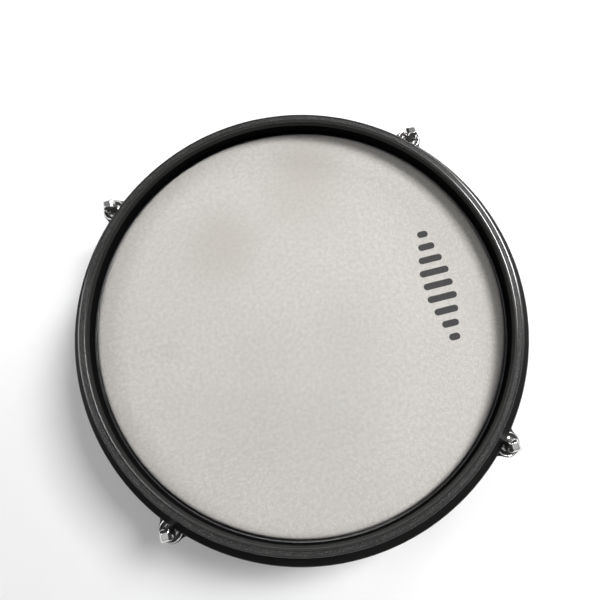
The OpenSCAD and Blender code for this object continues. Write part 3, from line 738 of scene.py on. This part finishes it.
# ------------------------------------------------------------------ CAD nodes that keep their shape
for name, m, w in (
    ("shell", PLASTIC, 0.5), ("bottom_cover", PLASTIC, 0.4), ("bottom_cover_screws", STEEL, 0.12), ("rubber_feet", FOOT, 0.4),
    ("lug_casing_1", PLASTIC, 0.7), ("lug_casing_2", PLASTIC, 0.7), ("lug_casing_3", PLASTIC, 0.7), ("lug_casing_4", PLASTIC, 0.7),
    ("lug_swivel_nuts", BRASS, 0.2), ("lug_screws", STEEL, 0.12), ("rod_nylon_washers", SOCKET, 0.12),
    ("sensor_bracket", STEEL, 0.25), ("sensor_bracket_screws", STEEL, 0.12), ("head_piezo", BRASS, 0.05),
    ("rim_piezo", BRASS, 0.05),
    ("jack_socket", SOCKET, 0.25), ("jack_washer", CHROME, 0.1), ("jack_nut", CHROME, 0.2), ("jack_board", BOARD, 0.1), ("sensor_plug", NYLON, 0.2),
    ("rod_holder", PLASTIC, 0.6), ("rod_holder_screws", STEEL, 0.12), ("rod_holder_nut", STEEL, 0.25), ("clamp_shoe", BRASS, 0.15), ("wing_bolt", CHROME, 0.45),
    ("head_piezo_lead", LEAD, 0), ("rim_piezo_lead", LEAD, 0),
):
    if w:
        cad_finish(name, w)
    else:
        nodes[name].data.shade_smooth()
    assign(nodes[name], m)

# ------------------------------------------------------------------ floor and light
bpy.ops.mesh.primitive_plane_add(size=40, location=(0, 0, 0))
floor = bpy.context.object
floor.name = "floor"
fm = Mat("floor")
fn = fm.noise(30, 3)
fm.l(fm.mix(fn, (0.90, 0.90, 0.90), (0.93, 0.93, 0.93)), fm.p.inputs["Base Color"])
fm.set(Roughness=0.8)
fsep = fm.n("SeparateXYZ"); fm.l(fm.tc.outputs["Object"], fsep.inputs[0])
frad = fm.math("SQRT", fm.math("ADD", fm.math("POWER", fsep.outputs[0], 2), fm.math("POWER", fsep.outputs[1], 2)))
fm.p.inputs["Emission Color"].default_value = (0.9, 0.9, 0.905, 1)
fm.l(fm.remap(frad, 0.45, 1.3, 0.0, 0.92, True), fm.p.inputs["Emission Strength"])     # the far floor runs pale into the backdrop
assign(floor, fm)

world = bpy.data.worlds.new("world")
bpy.context.scene.world = world
world.use_nodes = True
wt = world.node_tree
bg = wt.nodes["Background"]
tc = wt.nodes.new("ShaderNodeTexCoord")
sx = wt.nodes.new("ShaderNodeSeparateXYZ")
wt.links.new(tc.outputs["Generated"], sx.inputs[0])
rmp = wt.nodes.new("ShaderNodeValToRGB")
el = rmp.color_ramp.elements
for k, (p, c) in enumerate(((0.0, 0.90), (0.02, 0.05), (0.45, 0.04), (0.80, 0.12), (0.90, 0.55))):
    e = el[k] if k < len(el) else el.new(p)
    e.position, e.color = p, (c, c, c * 1.01, 1)
wt.links.new(sx.outputs[2], rmp.inputs[0])
wt.links.new(rmp.outputs[0], bg.inputs[0])
bg.inputs[1].default_value = 1.0
pale = wt.nodes.new("ShaderNodeBackground")
pale.inputs[0].default_value = (0.90, 0.90, 0.905, 1)
lp = wt.nodes.new("ShaderNodeLightPath")
mx = wt.nodes.new("ShaderNodeMixShader")
wt.links.new(lp.outputs["Is Camera Ray"], mx.inputs[0])
wt.links.new(bg.outputs[0], mx.inputs[1])
wt.links.new(pale.outputs[0], mx.inputs[2])
wt.links.new(mx.outputs[0], wt.nodes["World Output"].inputs[0])


def area_light(name, picture_dir, dist, size, power, size_y=None):
    """A soft light, placed by its direction in the picture's axes, aimed at the pad."""
    d = to_picture.transposed() @ Vector(picture_dir).normalized()
    la = bpy.data.lights.new(name, "AREA")
    la.energy, la.size = power, size
    if size_y:
        la.shape, la.size_y = "RECTANGLE", size_y
    lo_ = bpy.data.objects.new(name, la)
    bpy.context.scene.collection.objects.link(lo_)
    lo_.location = d * dist + Vector((0, 0, 0.05))
    lo_.rotation_mode = "QUATERNION"
    lo_.rotation_quaternion = (-d).to_track_quat("-Z", "Y")
    return lo_


area_light("key", (0.52, 0.36, 0.86), 1.3, 0.40, 17.2)
area_light("fill", (-0.95, 0.05, 0.9), 1.4, 0.55, 4.8)
area_light("kicker", (0.55, 0.85, 0.40), 1.2, 0.30, 4.0)

bpy.context.scene.view_settings.view_transform = "Standard"
